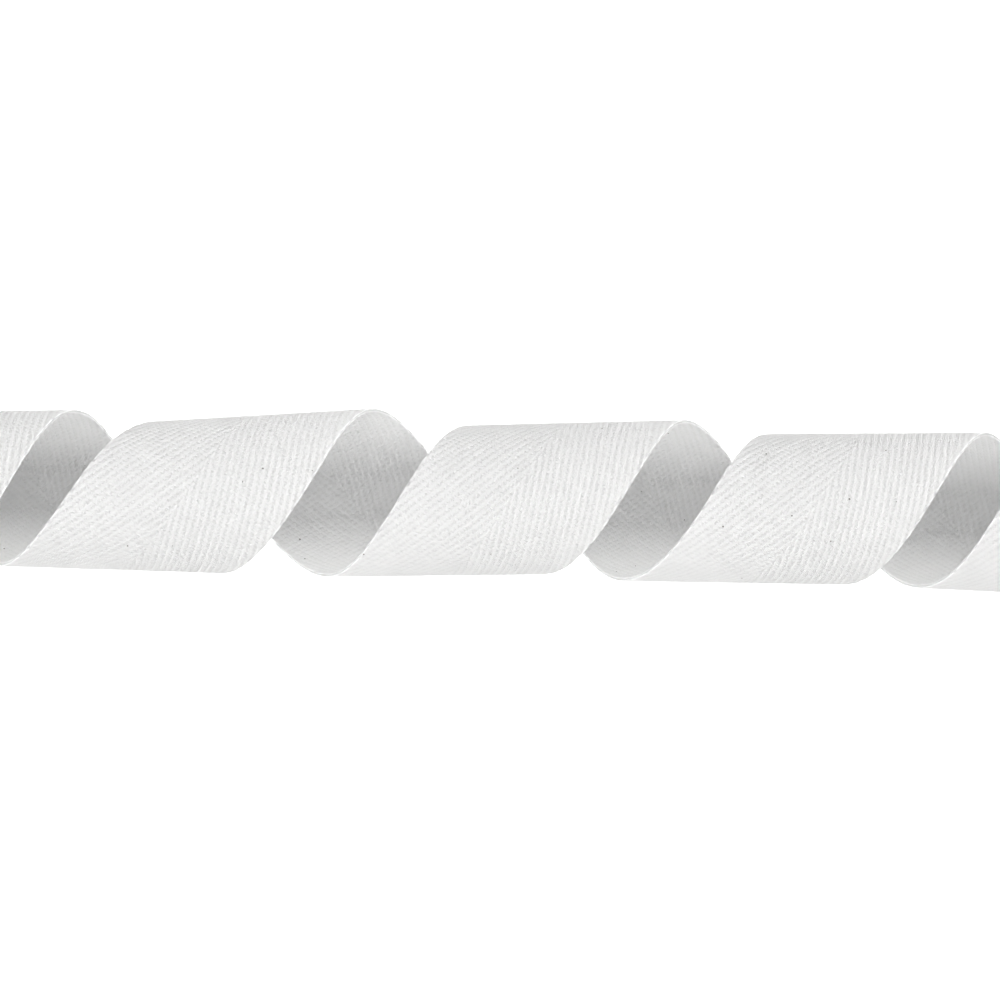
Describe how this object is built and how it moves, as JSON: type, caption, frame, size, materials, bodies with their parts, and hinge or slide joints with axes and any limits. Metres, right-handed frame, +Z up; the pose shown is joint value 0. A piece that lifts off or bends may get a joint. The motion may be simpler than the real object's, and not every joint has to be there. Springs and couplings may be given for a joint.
{
  "type": "coiled length of herringbone twill tape",
  "caption": "Off-white cotton herringbone twill tape, a flat woven strip with plain selvedges, lying on its side in a loose open left-handed coil with both cut ends on the surface.",
  "frame": {"origin": "on the surface that the coil lies on, under the middle of the coil's overall length and width", "axes": "+X along the coil's axis, +Y across it, +Z up. The turns advance along +X as a left-handed spiral."},
  "size_m": [0.3312, 0.0344, 0.0308],
  "materials": {
    "cotton": "matte bleached cotton in herringbone twill, with a few dark seed flecks"
  },
  "bodies": {
    "root": {"twill_tape": "cotton"}
  },
  "joints": []
}
